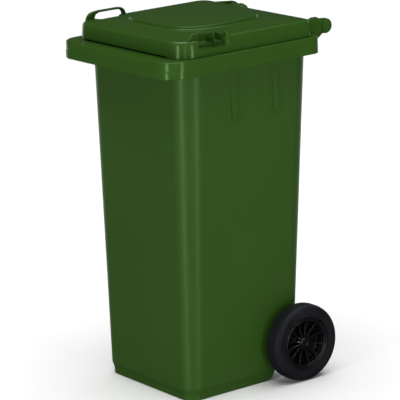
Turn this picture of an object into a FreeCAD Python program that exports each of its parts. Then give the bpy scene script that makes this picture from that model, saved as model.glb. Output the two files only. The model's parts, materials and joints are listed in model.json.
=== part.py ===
import FreeCAD, Part
import math
import os

# Two-wheeled refuse bin. Millimetres. X is the width, the front faces -Y, the hinge and wheels are at +Y,
# +Z is up. The origin is on the ground, in the middle of the bin's overall box.

# Rim: a downward channel round the mouth of the tub.
rim_width = 480.0
rim_length = 479.0          # front to rear
rim_top = 885.0             # height of the flat top above the ground
rim_height = 43.0           # height of the hanging apron
rim_wall = 4.0
rim_front_radius = 55.0
rim_rear_radius = 31.0
lift_band_height = 21.0     # thicker lower band of the front apron, which the lorry's comb grips
lift_band_depth = 2.0

# Tub: a tapered box with a raised step at the rear for the axle.
tub_wall = 4.0
tub_side_inset_top = 31.0   # from the side of the rim in to the tub's side wall, just under the rim
tub_side_inset_bottom = 57.0    # the same at the ground
tub_front_inset_top = 64.0  # from the front of the rim back to the tub's front wall
tub_front_inset_bottom = 59.0
tub_rear_inset_top = 7.5    # from the rear of the rim forward to the tub's rear wall
tub_rear_inset_bottom = 69.0
tub_corner_top = 58.0
tub_corner_bottom = 40.0
skirt_height = 34.0
skirt_step = 5.0            # how far the skirt sits inside the tub walls
skirt_slope = 6.0           # height of the sloping ledge above the skirt
floor_thickness = 5.0

# Ribs that stiffen the rim.
stack_rib_width = 16.0
stack_rib_length = 132.0    # hanging below the rim
stack_rib_stand = 1.0       # beyond the side wall at the rim
stack_rib_fronts = (210.0, 340.0)   # from the front of the rim
gusset_thickness = 4.0
gusset_drop = 9.0           # the tip shows this far below the apron
gusset_x = 92.0
gusset_side_y = 100.0       # from the front of the rim

# Lid.
lid_side_inset = 11.0       # from the side of the rim
lid_front_inset = 44.0
lid_rear_inset = 14.0
lid_skirt_height = 41.0
lid_crown_height = 9.0      # rise from the edge of the top to the raised panel
lid_wall = 3.0
lid_corner_front = 54.0
lid_corner_rear = 30.0
lid_draft = 4.0             # the skirt leans in this far at its top
lid_edge_round = 8.0
lid_gap = 0.5               # between the lid's edge and the rim
lid_front_lift = 3.5        # extra finger gap under the front edge
panel_side_inset = 76.0     # from the lid's side to the raised panel in its middle
panel_front_inset = 73.0
panel_rear_inset = 70.0
panel_corner = 73.0         # corner radius where the lid's slope meets the panel
panel_height = 10.0
panel_slope = 4.0           # how far the panel's edge leans in
panel_power = 3.2           # superellipse power of its outline
panel_points = 32           # points that its outline passes through

# Lid handles: one arch over a hand pocket on each side.
handle_front = 75.0         # front end of the arch, from the front of the rim
handle_length = 137.0
arch_width = 10.0           # across the bar
arch_thickness = 6.0        # of the bar, from its top to the opening under it
arch_corner_radius = 5.5
handle_leg = 28.0
handle_rise = 21.0          # above the edge of the lid
handle_inset = 13.0         # from the lid's side to the middle of the arch
pocket_depth = 20.0
pocket_drop = 26.0
pocket_rib = 3.0
pocket_rib_place = 85.0     # from the front end of the arch to the middle of the rib

# Hinge: lid arms turn on pins in the ends of the handle bar.
hinge_back = 46.0           # from the rear of the rim to the hinge axis
hinge_rise = 13.0           # of the hinge axis above the rim's top
hinge_boss_radius = 19.0
arm_side_inset = 41.0       # from the side of the rim to the outer face of a lid arm
arm_thickness = 14.0
side_clearance = 1.0        # between an arm and the bracket
pin_radius = 7.0
pin_clearance = 0.3
pin_head_radius = 15.0
pin_head_thickness = 4.0
pin_head_round = 1.3
pin_depth = 40.0            # into the handle bar
bar_radius = 15.0
bracket_width = 34.0
bracket_plate = 6.0
bracket_boss_radius = 17.0

# Axle and its supports.
axle_radius = 10.0
axle_clearance = 0.3
axle_ahead_of_rear = 91.0   # from the rear of the rim
axle_chamfer = 1.5
cheek_thickness = 10.0
cheek_boss_radius = 26.0
cheek_side_inset = 4.0      # outer cheek, inside the tub's bottom side
inner_cheek_x = 64.0        # outer face of each inner cheek, from the middle
recess_ahead = 56.0         # riser of the step, ahead of the axle
recess_above = 52.0         # roof of the step, above the axle
recess_edge_radius = 25.0
recess_roof_radius = 20.0

# Wheels.
wheel_radius = 100.0
wheel_width = 49.0
wheel_gap = 18.0            # from the tub's side at the ground to the tyre's inner face
tyre_shoulder = 14.0
tyre_seat_radius = 66.0
flange_height = 4.0         # above the seat
flange_width = 4.0
flange_inset = 4.0          # of the flange's face, inside the tyre's face
barrel_wall = 7.0
fit_gap = 0.05              # between pieces pressed together
web_start = 14.0            # from the tyre's inner face
web_thickness = 3.5
spoke_count = 12
spoke_thickness = 3.5
spoke_inset = 13.0          # of the spokes' ends, inside the tyre's outer face
hub_radius = 17.5
hub_boss_radius = 18.0
hub_inboard = 12.0          # the hub stands this far inside the tyre's inner face
hub_face_inset = 8.0        # of the hub's closed end, inside the tyre's outer face
hub_cap_thickness = 5.0

# Wheel latch: a sprung plunger that drops into a groove in the axle.
latch_offset = 3.5          # its axis, from the tyre's inner face
latch_tip_radius = 3.0
latch_stem_radius = 2.5
latch_clearance = 0.3
latch_collar_radius = 5.5
latch_collar_thickness = 3.0
latch_travel = 3.5
groove_width = 7.0
groove_depth = 2.5
chamber_radius = 6.0
chamber_start = 20.0        # from the axle's axis
housing_radius = 9.0
knob_room = 5.5             # between the pulled knob and the barrel
latch_cap_thickness = 4.0
knob_radius = 6.5
knob_thickness = 6.0
knob_round = 1.0
spring_wire = 1.0
spring_turns = 6
overlap = 1.0               # how far fused features run into each other
tolerance = 0.01            # for picking edges by their place

# Places worked out from the sizes.
overall_length = rim_length + hinge_back + hinge_boss_radius
front_y = -overall_length / 2
rim_half = rim_width / 2
tub_top_half = rim_half - tub_side_inset_top
tub_bottom_half = rim_half - tub_side_inset_bottom
rear_y = front_y + rim_length
hinge_y = rear_y + hinge_back
hinge_z = rim_top + hinge_rise
rim_bottom = rim_top - rim_height
axle_y = rear_y - axle_ahead_of_rear
axle_z = wheel_radius
recess_y = axle_y - recess_ahead
recess_z = axle_z + recess_above
lid_bottom = rim_top + lid_gap
lid_edge = lid_bottom + lid_skirt_height
lid_crown = lid_edge + lid_crown_height
lid_front_y = front_y + lid_front_inset
lid_rear_y = rear_y - lid_rear_inset
lid_half = rim_half - lid_side_inset
panel_half = lid_half - panel_side_inset
panel_front_y = lid_front_y + panel_front_inset
panel_rear_y = lid_rear_y - panel_rear_inset
pocket_floor = lid_edge - pocket_drop
arch_x = lid_half - handle_inset
arch_front_y = front_y + handle_front
arch_rear_y = arch_front_y + handle_length
arm_outer = rim_half - arm_side_inset
arm_inner = arm_outer - arm_thickness
bar_half = arm_inner - side_clearance
wheel_inner_face = tub_bottom_half + wheel_gap
wheel_outer_face = wheel_inner_face + wheel_width
flange_radius = tyre_seat_radius + flange_height
barrel_bore = tyre_seat_radius - barrel_wall
hub_tip = wheel_outer_face - hub_face_inset
axle_half = hub_tip - hub_cap_thickness - side_clearance
groove_floor_radius = axle_radius - groove_depth
latch_x = wheel_inner_face + latch_offset
housing_end = barrel_bore - knob_room - latch_travel - knob_thickness
far = 2000.0                # beyond every wall, for cutting tools

X_AXIS = FreeCAD.Vector(1, 0, 0)
Y_AXIS = FreeCAD.Vector(0, 1, 0)
Z_AXIS = FreeCAD.Vector(0, 0, 1)


def vec(x, y, z):
    return FreeCAD.Vector(x, y, z)


def box(x0, x1, y0, y1, z0, z1):
    return Part.makeBox(x1 - x0, y1 - y0, z1 - z0, vec(x0, y0, z0))


def cylinder_x(radius, x0, x1, y, z):
    return Part.makeCylinder(radius, x1 - x0, vec(x0, y, z), X_AXIS)


def mirrored(shape):
    return shape.mirror(vec(0, 0, 0), X_AXIS)


def corner_arc(x, y, z, radius, start):
    """Quarter arc about a corner centre, from the start angle in degrees."""
    points = []
    for turn in (0, 45, 90):
        angle = math.radians(start + turn)
        points.append(vec(x + radius * math.cos(angle), y + radius * math.sin(angle), z))
    return Part.Arc(*points).toShape()


def rounded_wire(half, y0, y1, z, front_radius, rear_radius):
    """Closed outline at height z: a rectangle with rounded front and rear corners."""
    front = corner_arc(half - front_radius, y0 + front_radius, z, front_radius, -90)
    rear = corner_arc(half - rear_radius, y1 - rear_radius, z, rear_radius, 0)
    rear_left = corner_arc(rear_radius - half, y1 - rear_radius, z, rear_radius, 90)
    front_left = corner_arc(front_radius - half, y0 + front_radius, z, front_radius, 180)
    arcs = (front, rear, rear_left, front_left)
    edges = []
    for index, arc in enumerate(arcs):
        following = arcs[(index + 1) % len(arcs)]
        edges.append(arc)
        edges.append(Part.makeLine(arc.lastVertex(True).Point, following.firstVertex(True).Point))
    return Part.Wire(edges)


def loft(wires):
    return Part.makeLoft(wires, True, True)


def prism(wire, height):
    return Part.Face(wire).extrude(vec(0, 0, height))


def profile_x(edges, x0, x1):
    """Solid between two X planes, from an outline drawn in the plane X = 0."""
    solid = Part.Face(Part.Wire(edges)).extrude(vec(x1 - x0, 0, 0))
    solid.translate(vec(x0, 0, 0))
    return solid


def polygon_x(points, x0, x1):
    closed = [vec(0, y, z) for y, z in points]
    return profile_x(Part.makePolygon(closed + closed[:1]).Edges, x0, x1)


def tub_wire(z, inset):
    """Outline of the tub's wall at a height, moved inwards by the inset."""
    share = z / rim_bottom
    half = tub_bottom_half + (tub_top_half - tub_bottom_half) * share
    front = tub_front_inset_bottom + (tub_front_inset_top - tub_front_inset_bottom) * share
    rear = tub_rear_inset_bottom + (tub_rear_inset_top - tub_rear_inset_bottom) * share
    corner = tub_corner_bottom + (tub_corner_top - tub_corner_bottom) * share
    radius = corner - inset
    return rounded_wire(half - inset, front_y + front + inset, rear_y - rear - inset, z, radius, radius)


def recess_tool(growth):
    """Space behind the riser and under the roof of the rear step, grown by a wall."""
    edge_y = recess_y - recess_edge_radius
    edge_radius = recess_edge_radius - growth
    roof_y = recess_y + recess_roof_radius
    roof_radius = recess_roof_radius + growth
    below = -far
    centre = vec(0, edge_y, recess_edge_radius)
    roof_centre = vec(0, roof_y, recess_z - recess_roof_radius)
    slant = math.sqrt(0.5)
    start = centre + vec(0, 0, -edge_radius)
    middle = centre + vec(0, edge_radius * slant, -edge_radius * slant)
    riser = centre + vec(0, edge_radius, 0)
    riser_top = roof_centre + vec(0, -roof_radius, 0)
    roof_middle = roof_centre + vec(0, -roof_radius * slant, roof_radius * slant)
    roof = roof_centre + vec(0, 0, roof_radius)
    roof_end = vec(0, far, roof.z)
    edges = [
        Part.makeLine(vec(0, edge_y, below), start),
        Part.Arc(start, middle, riser).toShape(),
        Part.makeLine(riser, riser_top),
        Part.Arc(riser_top, roof_middle, roof).toShape(),
        Part.makeLine(roof, roof_end),
        Part.makeLine(roof_end, vec(0, far, below)),
        Part.makeLine(vec(0, far, below), vec(0, edge_y, below)),
    ]
    return profile_x(edges, -far, far)


def tub_shell():
    """Outer shape of the tub with its skirt."""
    wall = loft([tub_wire(skirt_height, 0), tub_wire(rim_top, 0)])
    ledge = loft([tub_wire(skirt_height - skirt_slope, skirt_step), tub_wire(skirt_height, 0)])
    skirt = loft([tub_wire(0, skirt_step), tub_wire(skirt_height - skirt_slope, skirt_step)])
    return wall.fuse([ledge, skirt]).cut(recess_tool(0))


def tub_cavity():
    """Space inside the tub, open at the top."""
    inset = tub_wall + skirt_step
    lower = loft([tub_wire(floor_thickness, inset), tub_wire(skirt_height, inset)])
    upper = loft([tub_wire(skirt_height, tub_wall), tub_wire(rim_top + overlap, tub_wall)])
    return lower.fuse(upper).cut(recess_tool(tub_wall))


def rim():
    """Top flange and hanging apron, with the thicker lift band at the front."""
    face_y = front_y + lift_band_depth
    outline = rounded_wire(rim_half, face_y, rear_y, rim_bottom, rim_front_radius, rim_rear_radius)
    hollow = rounded_wire(rim_half - rim_wall, face_y + rim_wall, rear_y - rim_wall, rim_bottom - overlap,
                          rim_front_radius - rim_wall, rim_rear_radius - rim_wall)
    shell = prism(outline, rim_height).cut(prism(hollow, rim_height - rim_wall + overlap))
    band_wire = rounded_wire(rim_half, front_y, rear_y, rim_bottom, rim_front_radius, rim_rear_radius)
    band = prism(band_wire, lift_band_height).cut(prism(hollow, rim_height))
    band = band.common(box(-far, far, -far, front_y + rim_front_radius, 0, rim_top))
    return shell.fuse(band)


def stack_ribs():
    """Upright ribs on the side walls, hanging from the rim."""
    outer = tub_top_half + stack_rib_stand
    ribs = []
    low = rim_bottom - stack_rib_length
    for distance in stack_rib_fronts:
        y = front_y + distance
        rib = box(tub_bottom_half, outer, y, y + stack_rib_width, low, rim_top - overlap)
        ribs += [rib, mirrored(rib)]
    return ribs


def gussets():
    """Thin plates that tie the apron to the tub's wall, at the front and the sides."""
    wall_y = front_y + tub_front_inset_top
    apron_y = front_y + lift_band_depth + overlap
    tip = rim_bottom - gusset_drop
    top = rim_top - overlap
    outline = [(apron_y, top), (apron_y, rim_bottom + overlap), (wall_y, tip), (wall_y + tub_wall / 2, tip),
               (wall_y + tub_wall / 2, top)]
    front = polygon_x(outline, gusset_x - gusset_thickness / 2, gusset_x + gusset_thickness / 2)
    apron_x = rim_half - overlap
    root_x = tub_top_half - tub_wall / 2
    corners = [(apron_x, top), (apron_x, rim_bottom + overlap), (tub_top_half, tip), (root_x, tip),
               (root_x, top)]
    points = [vec(x, 0, z) for x, z in corners]
    plates = [front, mirrored(front)]
    for distance in (gusset_side_y,) + stack_rib_fronts:
        plate = Part.Face(Part.makePolygon(points + points[:1])).extrude(vec(0, gusset_thickness, 0))
        plate.translate(vec(0, front_y + distance, 0))
        plates += [plate, mirrored(plate)]
    return plates


def boss_plate(radius, x0, x1, y0, z0, z1):
    """Plate from an upright edge at y0 to a round boss on the hinge axis."""
    boss = cylinder_x(radius, x0, x1, hinge_y, hinge_z)
    tangents = []
    for z in (z1, z0):
        across = hinge_y - y0
        rise = hinge_z - z
        reach = math.hypot(across, rise)
        lean = math.asin(radius / reach)
        direction = math.atan2(rise, across)
        side = 1 if z == z1 else -1
        angle = direction + side * lean
        run = math.sqrt(reach ** 2 - radius ** 2)
        tangents.append((y0 + run * math.cos(angle), z + run * math.sin(angle)))
    upper, lower = tangents
    blade = polygon_x([(y0, z0), (y0, z1), upper, (hinge_y, hinge_z), lower], x0, x1)
    return blade.fuse(boss)


def handle_bar():
    """Grip bar behind the rim, and the ribbed brackets that carry it."""
    bar = cylinder_x(bar_radius, -bar_half, bar_half, hinge_y, hinge_z)
    pieces = [bar]
    outer = bar_half
    inner = bar_half - bracket_width
    root_y = rear_y - overlap
    for x0 in (outer - bracket_plate, inner):
        plate = boss_plate(bracket_boss_radius, x0, x0 + bracket_plate, root_y, rim_bottom, rim_top)
        pieces += [plate, mirrored(plate)]
    web = polygon_x([(root_y, rim_bottom + rim_height / 2), (root_y, rim_top - rim_wall),
                     (hinge_y, hinge_z + rim_wall / 2), (hinge_y, hinge_z - rim_wall / 2)], inner, outer)
    pieces += [web, mirrored(web)]
    return pieces


def pin_bores():
    bore = cylinder_x(pin_radius + fit_gap, bar_half - pin_depth, far, hinge_y, hinge_z)
    return [bore, mirrored(bore)]


def cheek(x0, x1):
    """Plate that hangs from the roof of the step and holds the axle."""
    y0 = axle_y - cheek_boss_radius
    y1 = axle_y + cheek_boss_radius
    hanger = box(x0, x1, y0, y1, axle_z, recess_z + tub_wall / 2)
    return hanger.fuse(cylinder_x(cheek_boss_radius, x0, x1, axle_y, axle_z))


def axle_cheeks():
    outer = tub_bottom_half - cheek_side_inset
    plates = []
    for face in (outer, inner_cheek_x):
        plate = cheek(face - cheek_thickness, face)
        plates += [plate, mirrored(plate)]
    return plates


def make_body():
    shell = tub_shell().fuse([rim()] + stack_ribs() + gussets())
    shell = shell.cut(tub_cavity())
    shell = shell.fuse(handle_bar() + axle_cheeks())
    bore = cylinder_x(axle_radius + axle_clearance, -far, far, axle_y, axle_z)
    return shell.cut(pin_bores() + [bore]).removeSplitter()


def lid_wire(z, inset):
    return rounded_wire(lid_half - inset, lid_front_y + inset, lid_rear_y - inset, z,
                        lid_corner_front - inset, lid_corner_rear - inset)


def panel_wire(z, inset):
    """Closed rounded outline of the raised panel, by a superellipse."""
    half = panel_half - inset
    reach = (panel_rear_y - panel_front_y) / 2 - inset
    centre = (panel_rear_y + panel_front_y) / 2
    points = []
    for index in range(panel_points):
        angle = 2 * math.pi * index / panel_points
        c = math.cos(angle)
        s = math.sin(angle)
        share = (abs(c) ** panel_power + abs(s) ** panel_power) ** (-1 / panel_power)
        points.append(vec(half * c * share, centre + reach * s * share, z))
    curve = Part.BSplineCurve()
    curve.interpolate(Points=points, PeriodicFlag=True)
    return Part.Wire([curve.toShape()])


def crown_wire(z, inset):
    """Rounded rectangle where the lid's sloping top meets the raised panel."""
    radius = panel_corner - inset
    return rounded_wire(panel_half - inset, panel_front_y + inset, panel_rear_y - inset, z, radius, radius)


def lid_form(inset, drop):
    """Lid's outer form, or its inner form when moved in by the inset and down by the drop."""
    top = lid_edge - drop
    skirt = loft([lid_wire(lid_bottom, inset), lid_wire(top, lid_draft + inset)])
    crown = loft([lid_wire(top, lid_draft + inset), crown_wire(lid_crown - drop, inset)])
    panel = loft([panel_wire(lid_crown - drop - lid_crown_height / 2, inset - panel_slope / 2),
                  panel_wire(lid_crown - drop + panel_height, inset + panel_slope)])
    return skirt, crown, panel


def lid_shell():
    skirt, crown, panel = lid_form(0, 0)
    outside = skirt.fuse(crown).removeSplitter()
    edges = []
    for edge in outside.Edges:
        limits = edge.BoundBox
        if abs(limits.ZMin - lid_edge) < tolerance and limits.ZLength < tolerance:
            edges.append(edge)
    outside = outside.makeFillet(lid_edge_round, edges)
    return outside.fuse(panel)


def lid_hollow():
    skirt, crown, panel = lid_form(lid_wall, lid_wall)
    base = prism(lid_wire(lid_bottom - overlap, lid_wall), 2 * overlap)
    return skirt.fuse([crown, panel, base])


def pocket_box(growth):
    """Hand pocket under one lid handle, grown by a wall."""
    y0 = arch_front_y + handle_leg - growth
    y1 = arch_rear_y - handle_leg + growth
    return box(lid_half - pocket_depth - growth, far, y0, y1, pocket_floor - growth, far)


def arch():
    """Handle bar that rises over the pocket on two legs, along the lid's side."""
    x0 = arch_x - arch_width / 2
    x1 = arch_x + arch_width / 2
    y0 = arch_front_y
    y1 = arch_rear_y
    foot = pocket_floor + pocket_drop / 2
    top = lid_edge + handle_rise
    lean = handle_leg / 2
    outline = [(y0, foot), (y0, lid_edge), (y0 + lean, top), (y1 - lean, top), (y1, lid_edge), (y1, foot)]
    frame = polygon_x(outline, x0, x1)
    corners = []
    for edge in frame.Edges:
        limits = edge.BoundBox
        if limits.XLength > arch_width / 2 and limits.ZMin > lid_edge + overlap:
            corners.append(edge)
    frame = frame.makeFillet(arch_corner_radius, corners)
    gap = box(x0 - overlap, x1 + overlap, y0 + handle_leg, y1 - handle_leg, foot - overlap,
              top - arch_thickness)
    return frame.cut(gap)


def lid_arm():
    """Arm from the lid's rear wall to its boss round the hinge pin."""
    root_y = lid_rear_y - lid_draft - lid_wall / 2
    arm_top = lid_edge - lid_edge_round / 2
    arm = boss_plate(hinge_boss_radius, arm_inner, arm_outer, root_y, lid_bottom, arm_top)
    keep = box(0, far, root_y, far, lid_bottom, far)
    boss = cylinder_x(hinge_boss_radius, arm_inner, arm_outer, hinge_y, hinge_z)
    return arm.common(keep).fuse(boss)


def make_lid():
    shell = lid_shell()
    walls = pocket_box(lid_wall)
    hollow = lid_hollow().cut([walls, mirrored(walls)])
    shell = shell.cut(hollow)
    pocket = pocket_box(0)
    shell = shell.cut([pocket, mirrored(pocket)])
    rib_y = arch_front_y + pocket_rib_place
    rib = box(lid_half - pocket_depth - overlap, arch_x - arch_width / 2 + overlap, rib_y - pocket_rib / 2,
              rib_y + pocket_rib / 2, pocket_floor - overlap, lid_edge)
    bar = arch()
    arm = lid_arm()
    shell = shell.fuse([bar, mirrored(bar), arm, mirrored(arm), rib, mirrored(rib)])
    lift_half = lid_half - lid_corner_front
    lift = box(-lift_half, lift_half, lid_front_y - overlap, lid_front_y + lid_wall + overlap,
               lid_bottom - overlap, lid_bottom + lid_front_lift)
    bore = cylinder_x(pin_radius + pin_clearance, -far, far, hinge_y, hinge_z)
    return shell.cut([lift, bore]).removeSplitter()


def make_pin():
    """Right hinge pin: a shank into the handle bar, and a head outside the lid arm."""
    head_start = arm_outer + pin_clearance
    shank = cylinder_x(pin_radius, bar_half - pin_depth + side_clearance, head_start, hinge_y, hinge_z)
    head_end = head_start + pin_head_thickness
    head = cylinder_x(pin_head_radius, head_start, head_end, hinge_y, hinge_z)
    face_edges = [edge for edge in head.Edges if edge.BoundBox.XMin > head_end - tolerance]
    head = head.makeFillet(pin_head_round, face_edges)
    return shank.fuse(head)


def ring_x(outer, inner, x0, x1):
    return cylinder_x(outer, x0, x1, axle_y, axle_z).cut(cylinder_x(inner, x0, x1, axle_y, axle_z))


def make_axle():
    """Steel bar with chamfered ends and one latch groove near each end."""
    bar = cylinder_x(axle_radius, -axle_half, axle_half, axle_y, axle_z)
    bar = bar.makeChamfer(axle_chamfer, [edge for edge in bar.Edges if edge.BoundBox.XLength < tolerance])
    grooves = []
    for side in (-1, 1):
        middle = side * latch_x
        grooves.append(ring_x(axle_radius + overlap, groove_floor_radius, middle - groove_width / 2,
                              middle + groove_width / 2))
    return bar.cut(grooves)


def revolve_x(points):
    """Ring about the axle from a profile of distances along X and radii."""
    corners = [vec(x, axle_y, axle_z + radius) for x, radius in points]
    face = Part.Face(Part.makePolygon(corners + corners[:1]))
    return face.revolve(vec(0, axle_y, axle_z), X_AXIS, 360)


def make_tyre():
    """Right tyre: a solid rubber ring snapped over the wheel centre's flanges."""
    x0 = wheel_inner_face
    x1 = wheel_outer_face
    lip = flange_inset + flange_width + fit_gap
    seat = tyre_seat_radius + fit_gap
    flange = flange_radius + fit_gap
    ring = revolve_x([(x0, flange), (x0, wheel_radius), (x1, wheel_radius), (x1, flange), (x1 - lip, flange),
                      (x1 - lip, seat), (x0 + lip, seat), (x0 + lip, flange)])
    shoulders = []
    for edge in ring.Edges:
        limits = edge.BoundBox
        if limits.XLength < tolerance and limits.ZMax > axle_z + wheel_radius - tolerance:
            shoulders.append(edge)
    return ring.makeFillet(tyre_shoulder, shoulders)


def rod_z(radius, low, high):
    """Upright rod on the latch's axis, between two distances from the axle."""
    return Part.makeCylinder(radius, high - low, vec(latch_x, axle_y, axle_z + low), Z_AXIS)


def make_wheel_centre():
    """Right wheel centre: flanged barrel, web, spokes, blind hub and latch housing."""
    x0 = wheel_inner_face + flange_inset
    x1 = wheel_outer_face - flange_inset
    bore = barrel_bore
    seat = tyre_seat_radius
    inner_lip = x0 + flange_width
    outer_lip = x1 - flange_width
    barrel = revolve_x([(x0, bore), (x0, flange_radius), (inner_lip, flange_radius), (inner_lip, seat),
                        (outer_lip, seat), (outer_lip, flange_radius), (x1, flange_radius), (x1, bore)])
    web_x = wheel_inner_face + web_start
    web = cylinder_x(bore + overlap, web_x, web_x + web_thickness, axle_y, axle_z)
    hub = cylinder_x(hub_radius, web_x, hub_tip, axle_y, axle_z)
    boss = cylinder_x(hub_boss_radius, wheel_inner_face - hub_inboard, web_x + overlap, axle_y, axle_z)
    housing = rod_z(housing_radius, 0, housing_end)
    spokes = []
    half = spoke_thickness / 2
    spoke = box(web_x, wheel_outer_face - spoke_inset, axle_y - half, axle_y + half,
                axle_z + hub_radius - overlap, axle_z + bore + overlap)
    for index in range(spoke_count):
        copy = spoke.copy()
        copy.rotate(vec(0, axle_y, axle_z), X_AXIS, 360 * (index + 0.5) / spoke_count)
        spokes.append(copy)
    centre = barrel.fuse([web, hub, boss, housing] + spokes)
    axle_bore = cylinder_x(axle_radius + axle_clearance, 0, hub_tip - hub_cap_thickness, axle_y, axle_z)
    tip_bore = rod_z(latch_tip_radius + latch_clearance, 0, housing_end)
    chamber = rod_z(chamber_radius, chamber_start, housing_end + overlap)
    return centre.cut([axle_bore, tip_bore, chamber]).removeSplitter()


def make_latch():
    """Right wheel latch: tip, collar, stem and knob."""
    tip_low = groove_floor_radius + latch_clearance
    collar_low = chamber_start + latch_clearance
    collar_high = collar_low + latch_collar_thickness
    knob_low = housing_end + latch_clearance
    tip = rod_z(latch_tip_radius, tip_low, collar_low)
    collar = rod_z(latch_collar_radius, collar_low, collar_high)
    stem = rod_z(latch_stem_radius, collar_high, knob_low)
    knob = rod_z(knob_radius, knob_low, knob_low + knob_thickness)
    knob = knob.makeFillet(knob_round, [edge for edge in knob.Edges if edge.BoundBox.ZLength < tolerance])
    return tip.fuse([collar, stem, knob]).removeSplitter()


def make_latch_cap():
    """Ring that closes the spring chamber round the latch's stem."""
    low = housing_end - latch_cap_thickness
    ring = rod_z(chamber_radius - fit_gap, low, housing_end)
    return ring.cut(rod_z(latch_stem_radius + latch_clearance, low - overlap, housing_end + overlap))


def make_spring():
    """Coil spring between the latch's collar and the cap."""
    low = chamber_start + latch_clearance + latch_collar_thickness + spring_wire / 2 + latch_clearance
    high = housing_end - latch_cap_thickness - spring_wire / 2 - latch_clearance
    mean = (latch_stem_radius + chamber_radius) / 2
    pitch = (high - low) / spring_turns
    helix = Part.makeHelix(pitch, high - low, mean)
    section = Part.Wire([Part.Circle(vec(mean, 0, 0), Y_AXIS, spring_wire / 2).toShape()])
    coil = Part.Wire(helix).makePipeShell([section], True, True)
    coil.translate(vec(latch_x, axle_y, axle_z + low))
    return coil


def export(name, shape):
    shape.exportStep("parts/" + name + ".step")
    solids = len(shape.Solids)
    print(name, "solids", solids, "valid", shape.isValid(), "volume", round(shape.Volume))


os.makedirs("parts", exist_ok=True)
export("bin_body", make_body())
export("lid", make_lid())
export("axle", make_axle())
paired = {
    "hinge_pin": make_pin(),
    "tyre": make_tyre(),
    "wheel_centre": make_wheel_centre(),
    "wheel_latch": make_latch(),
    "latch_cap": make_latch_cap(),
    "latch_spring": make_spring(),
}
for name, shape in paired.items():
    export(name + "_right", shape)
    export(name + "_left", mirrored(shape))
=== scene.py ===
import json
import math

import bmesh
import bpy
import numpy as np
from mathutils import Matrix, Vector


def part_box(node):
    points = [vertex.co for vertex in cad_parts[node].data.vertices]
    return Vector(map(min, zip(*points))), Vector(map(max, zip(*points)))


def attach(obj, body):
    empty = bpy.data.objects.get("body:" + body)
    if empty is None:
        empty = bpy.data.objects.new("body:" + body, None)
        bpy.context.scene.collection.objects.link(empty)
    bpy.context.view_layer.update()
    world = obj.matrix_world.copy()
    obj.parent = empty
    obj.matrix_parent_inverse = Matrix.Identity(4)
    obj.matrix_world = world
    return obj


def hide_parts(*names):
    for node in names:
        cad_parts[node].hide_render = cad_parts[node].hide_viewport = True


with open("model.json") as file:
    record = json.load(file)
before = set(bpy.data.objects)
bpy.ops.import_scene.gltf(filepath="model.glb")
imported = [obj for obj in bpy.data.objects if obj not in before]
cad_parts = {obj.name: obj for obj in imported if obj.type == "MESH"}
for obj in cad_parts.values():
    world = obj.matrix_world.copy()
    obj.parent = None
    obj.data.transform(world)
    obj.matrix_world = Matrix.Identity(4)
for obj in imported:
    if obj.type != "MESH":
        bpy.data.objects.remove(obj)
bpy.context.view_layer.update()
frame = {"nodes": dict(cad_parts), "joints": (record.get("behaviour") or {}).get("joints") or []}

# ---------------------------------------------------------------- places read from the frame, in metres
joints = {joint["name"]: joint for joint in frame["joints"]}
hinge = Vector(joints["lid_hinge"]["pos_m"])
wheel_hub = Vector(joints["wheel_right_spin"]["pos_m"])
tub_low, tub_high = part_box("bin_body")
lid_low, lid_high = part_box("lid")
tyre_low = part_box("tyre_right")[0]

HINGE_BEHIND_RIM = 0.046
HINGE_ABOVE_RIM = 0.013
RIM_HEIGHT = 0.043
rim_half = tub_high.x
front_y = tub_low.y
rear_y = hinge.y - HINGE_BEHIND_RIM
rim_top = hinge.z - HINGE_ABOVE_RIM
rim_bottom = rim_top - RIM_HEIGHT

# ---------------------------------------------------------------- sizes of the mouldings, in metres
# Rim: it hangs down outside the tub and has a thicker band along its lower edge.
RIM_WALL = 0.004
RIM_FRONT_RADIUS = 0.055
RIM_REAR_RADIUS = 0.031
BAND_HEIGHT = 0.021
BAND_DEPTH = 0.002

# Tub: each pair is a value at the ground and one at the rim's lower edge.
TUB_WALL = 0.004
TUB_HALF = (0.183, 0.209)
TUB_FRONT = (0.059, 0.064)          # how far the front wall stands in from the rim
TUB_REAR = (0.069, 0.0075)          # how far the rear wall stands in from the rim
TUB_CORNER = (0.040, 0.058)
SKIRT_HEIGHT = 0.030
SKIRT_STEP = 0.005
SKIRT_SLOPE = 0.014
SKIRT_CHAMFER = 0.003
FLOOR = 0.005
FLOOR_CHAMFER = 0.012
MOUTH_FLARE = 0.003

# Raised step over the axle, and the plates that hang from its roof.
STEP_RISER = wheel_hub.y - 0.056
STEP_ROOF = wheel_hub.z + 0.052
STEP_EDGE_RADIUS = 0.025
STEP_ROOF_RADIUS = 0.020
CHEEK_RADIUS = 0.026
CHEEK_THICKNESS = 0.010
CHEEK_BEVEL = 0.0015
OUTER_CHEEK = TUB_HALF[0] - 0.004
INNER_CHEEK = 0.064
AXLE_BORE = 0.0103

# Stacking ribs on the side walls, and thin gussets under the rim.
RIB_WIDTH = 0.016
RIB_LENGTH = 0.132
RIB_STAND = 0.001
RIB_BEVEL = 0.0022
RIB_FRONTS = (0.210, 0.340)         # distances behind the rim's front face
GUSSET = 0.004
GUSSET_DROP = 0.009
GUSSET_BEVEL = 0.0008
GUSSET_X = 0.092                    # the front gusset's distance from the middle
GUSSET_SIDE = 0.100                 # the foremost side gusset's distance behind the rim's front face

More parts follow.
